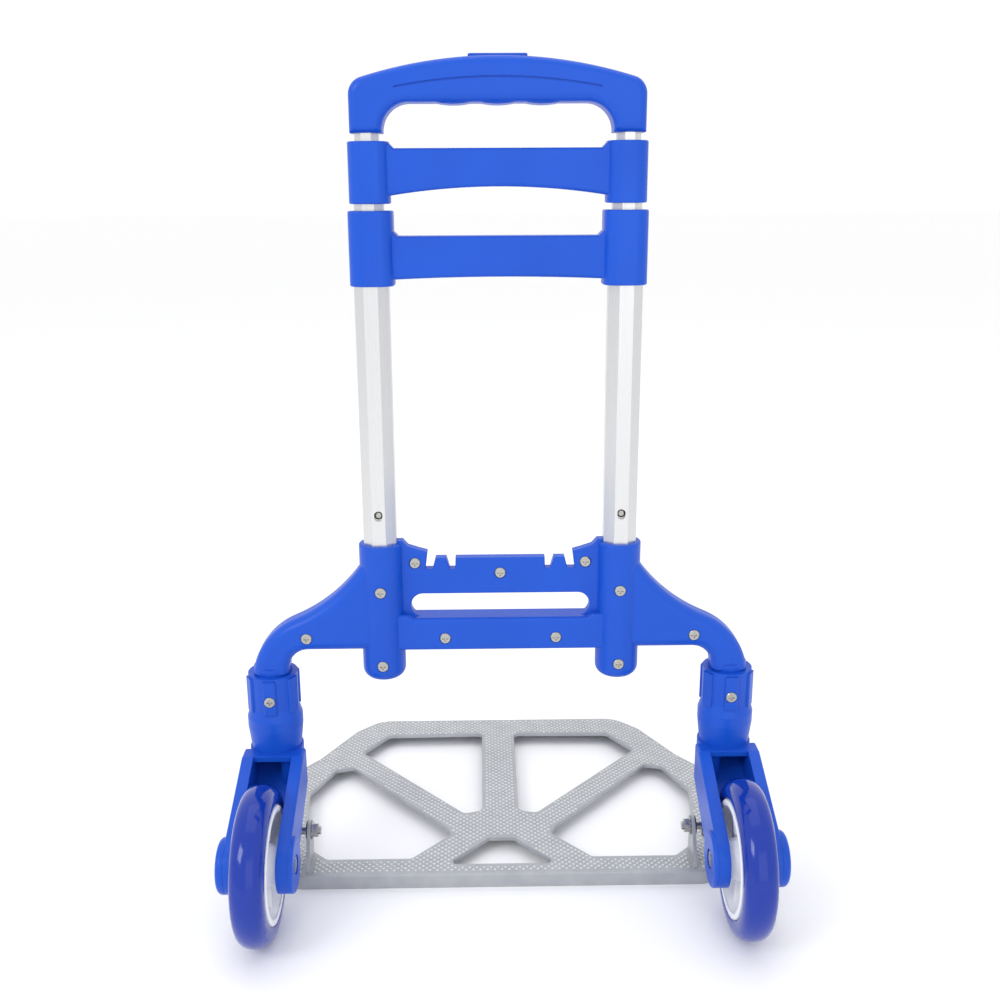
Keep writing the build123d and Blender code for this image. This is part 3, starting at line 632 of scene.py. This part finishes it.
@dataclass
class PlatformTread:
    """Raised dots over the platform's deck."""

    finishes: Finishes
    pitch: float = 6.2 * MM
    dot_radius: float = 1.75 * MM
    dot_height: float = 0.8 * MM
    dot_top_share: float = 0.55
    dot_sink: float = 0.15 * MM
    dot_sides: int = 8
    margin: float = 3.0 * MM
    flatness: float = 0.05 * MM
    ray_rise: float = 0.06

    def build(self) -> None:
        """Sets a dot at each lattice point whose surroundings are flat deck."""
        deck = frame["nodes"]["platform"]
        tree = BVHTree.FromPolygons(
            [tuple(vertex.co) for vertex in deck.data.vertices],
            [tuple(polygon.vertices) for polygon in deck.data.polygons],
        )
        low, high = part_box("platform")
        deck_top = self.deck_height(tree, low, high)
        shape = bmesh.new()
        rows = int((high.y - low.y) / (self.pitch / 2))
        for row in range(rows + 1):
            y = low.y + row * self.pitch / 2
            shift = self.pitch / 2 if row % 2 else 0.0
            columns = int((high.x - low.x) / 2 / self.pitch)
            for column in range(-columns, columns + 1):
                x = column * self.pitch + shift
                if self.is_deck(tree, x, y, deck_top):
                    self.add_dot(shape, Vector((x, y, deck_top)))
        # The dots take the lighter silver, which is a painted highlight on their raised tops.
        mesh_piece("tread_dots", shape, self.finishes.painted_highlight_dots, "platform_tray")

    def deck_height(self, tree: BVHTree, low: Vector, high: Vector) -> float:
        """Height of the deck's top, read on the middle spoke.

        Args:
            tree: ray tree of the platform.
            low: lowest corner of the platform.
            high: highest corner of the platform.

        Returns:
            The height.
        """
        above = Vector((0, (low.y + high.y) / 2, high.z + self.ray_rise))
        return tree.ray_cast(above, Vector((0, 0, -1)))[0].z

    def is_deck(self, tree: BVHTree, x: float, y: float, deck_top: float) -> bool:
        """Whether the deck is flat at a point and all round it.

        Args:
            tree: ray tree of the platform.
            x: across the cart.
            y: along the cart.
            deck_top: height of the flat deck.

        Returns:
            True if a dot fits there.
        """
        reach = self.margin
        for dx, dy in ((0, 0), (reach, 0), (-reach, 0), (0, reach), (0, -reach)):
            above = Vector((x + dx, y + dy, deck_top + self.ray_rise))
            struck = tree.ray_cast(above, Vector((0, 0, -1)))[0]
            if struck is None or abs(struck.z - deck_top) > self.flatness:
                return False
        return True

    def add_dot(self, shape: bmesh.types.BMesh, base: Vector) -> None:
        """Adds one low round dot, sunk a little into the deck.

        Args:
            shape: mesh that gets the dot.
            base: centre of the dot on the deck.
        """
        middle = base + Vector((0, 0, self.dot_height / 2 - self.dot_sink))
        bmesh.ops.create_cone(
            shape,
            cap_ends=True,
            cap_tris=False,
            segments=self.dot_sides,
            radius1=self.dot_radius,
            radius2=self.dot_radius * self.dot_top_share,
            depth=self.dot_height,
            matrix=Matrix.Translation(middle),
        )


# ---------------------------------------------------------------- studio


@dataclass
class Studio:
    """Pale floor, soft lights and the camera."""

    camera_place: Vector = field(default_factory=lambda: Vector((-0.01303, -0.88235, 0.57603)))
    yaw: float = -0.015
    pitch: float = 0.268
    roll: float = -0.005
    focal_ratio: float = 1.12289
    sensor: float = 36.0
    floor_half_width: float = 30.0
    floor_colour: str = "FBFBFC"
    floor_roughness: float = 0.55
    sky_strength: float = 1.02
    aim: Vector = field(default_factory=lambda: Vector((0, 0, 0.25)))

    def build(self) -> None:
        """Builds the floor, the lights, the sky and the camera."""
        self.floor()
        self.lights()
        self.sky()
        self.camera()

    def floor(self) -> None:
        """Large pale matt floor."""
        shape = bmesh.new()
        bmesh.ops.create_grid(shape, x_segments=2, y_segments=2, size=self.floor_half_width)
        mesh = bpy.data.meshes.new("floor")
        shape.to_mesh(mesh)
        shape.free()
        material = bpy.data.materials.new("pale_floor")
        material.use_nodes = True
        shader = material.node_tree.nodes["Principled BSDF"]
        shader.inputs["Base Color"].default_value = linear(self.floor_colour)
        shader.inputs["Roughness"].default_value = self.floor_roughness
        mesh.materials.append(material)
        floor = bpy.data.objects.new("floor", mesh)
        bpy.context.scene.collection.objects.link(floor)

    def lights(self) -> None:
        """Two large soft boxes and a top light, each as its place, size in metres and power."""
        boxes = {
            "key": (Vector((-1.6, -1.6, 1.8)), 0.9, 16.0),
            "fill": (Vector((0.5, -2.2, 0.9)), 1.6, 5.0),
            "top": (Vector((0.0, 0.4, 2.4)), 2.0, 8.0),
        }
        for name, (place, size, power) in boxes.items():
            light = bpy.data.lights.new(name, "AREA")
            light.shape = "SQUARE"
            light.size = size
            light.energy = power
            lamp = bpy.data.objects.new(name, light)
            lamp.location = place
            lamp.rotation_euler = (self.aim - place).to_track_quat("-Z", "Y").to_euler()
            bpy.context.scene.collection.objects.link(lamp)

    def sky(self) -> None:
        """Even white surroundings and a neutral view transform."""
        world = bpy.data.worlds.new("studio")
        bpy.context.scene.world = world
        world.use_nodes = True
        background = world.node_tree.nodes["Background"]
        background.inputs["Color"].default_value = (1.0, 1.0, 1.0, 1.0)
        background.inputs["Strength"].default_value = self.sky_strength
        bpy.context.scene.view_settings.view_transform = "Standard"

    def camera(self) -> None:
        """Camera behind the cart, a little above it and looking down."""
        data = bpy.data.cameras.new("camera")
        data.sensor_width = self.sensor
        data.lens = self.focal_ratio * self.sensor
        forward = Vector(
            (
                -math.sin(self.yaw) * math.cos(self.pitch),
                math.cos(self.yaw) * math.cos(self.pitch),
                -math.sin(self.pitch),
            )
        )
        level = Vector((math.cos(self.yaw), math.sin(self.yaw), 0))
        upright = level.cross(forward)
        right = math.cos(self.roll) * level + math.sin(self.roll) * upright
        up = -math.sin(self.roll) * level + math.cos(self.roll) * upright
        turn = Matrix((right, up, -forward)).transposed().to_4x4()
        camera = bpy.data.objects.new("camera", data)
        camera.matrix_world = Matrix.Translation(self.camera_place) @ turn
        bpy.context.scene.collection.objects.link(camera)
        bpy.context.scene.camera = camera


# ---------------------------------------------------------------- the whole


def main() -> None:
    """Builds the whole scene."""
    logging.basicConfig(level=logging.INFO, format="%(name)s: %(message)s")
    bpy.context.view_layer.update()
    finishes = Finishes()
    CarriedNodes(finishes).dress()
    for side in Side:
        Wheel(side, finishes).build()
    PlatformTread(finishes).build()
    Studio().build()


if __name__ == "__main__":
    main()
